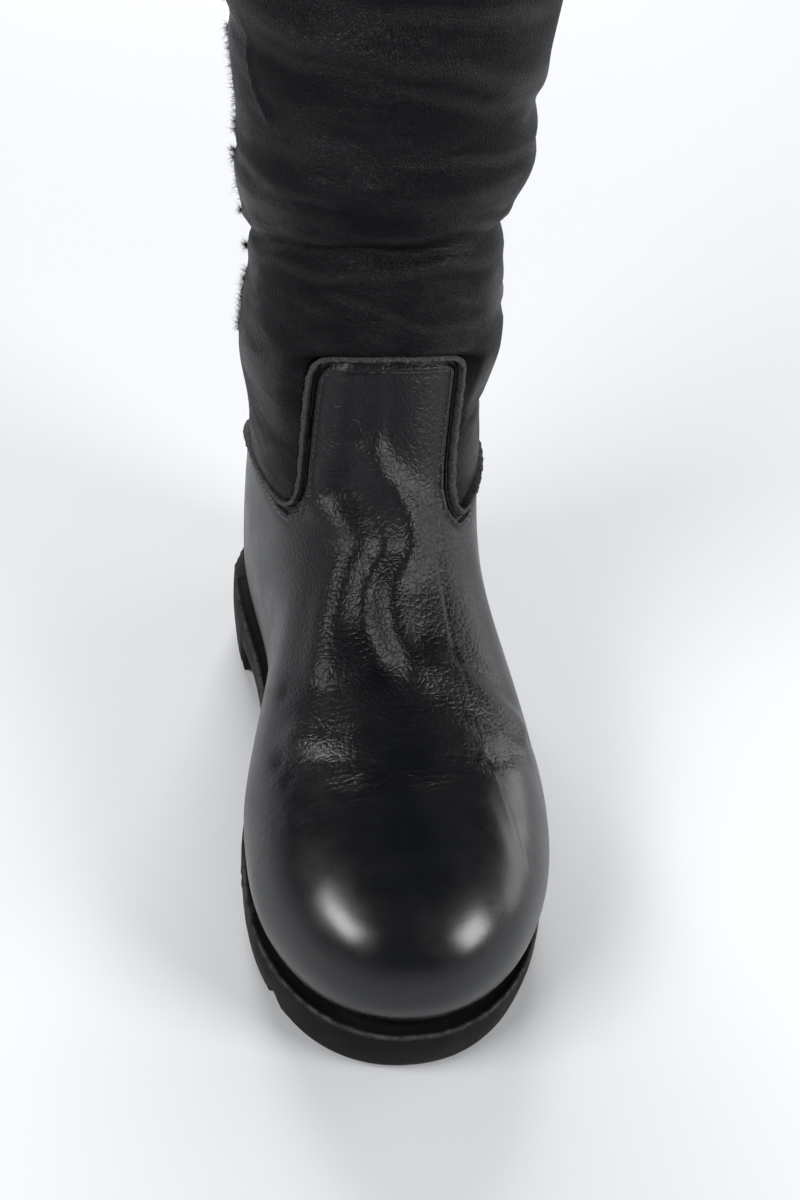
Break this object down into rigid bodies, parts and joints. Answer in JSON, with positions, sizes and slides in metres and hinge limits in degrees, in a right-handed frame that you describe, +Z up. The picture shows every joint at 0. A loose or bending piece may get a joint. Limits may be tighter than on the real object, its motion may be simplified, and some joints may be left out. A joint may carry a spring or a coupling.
{
  "type": "over-the-knee boot",
  "caption": "Black leather over-the-knee boot for the left foot, with a slack shearling shaft, a raised seam round its front panel and a lugged rubber sole.",
  "frame": {"origin": "on the floor, on the flat of the back heel lug, on the boot's centre line", "axes": "+Z up the shaft, -Y towards the toe, +X towards the outer side of the left foot"},
  "size_m": [0.1334, 0.3067, 0.56],
  "materials": {
    "rubber": "matt moulded",
    "grain_leather": "polished smooth grain",
    "shearling": "soft nappa, pile inside",
    "cut_edge": "raw cut edge",
    "insole_board": "pile cover"
  },
  "bodies": {
    "root": {"outsole": "rubber", "foot_upper": "grain_leather", "shaft": "shearling", "seam_lip": "cut_edge", "insole": "insole_board"}
  },
  "joints": []
}
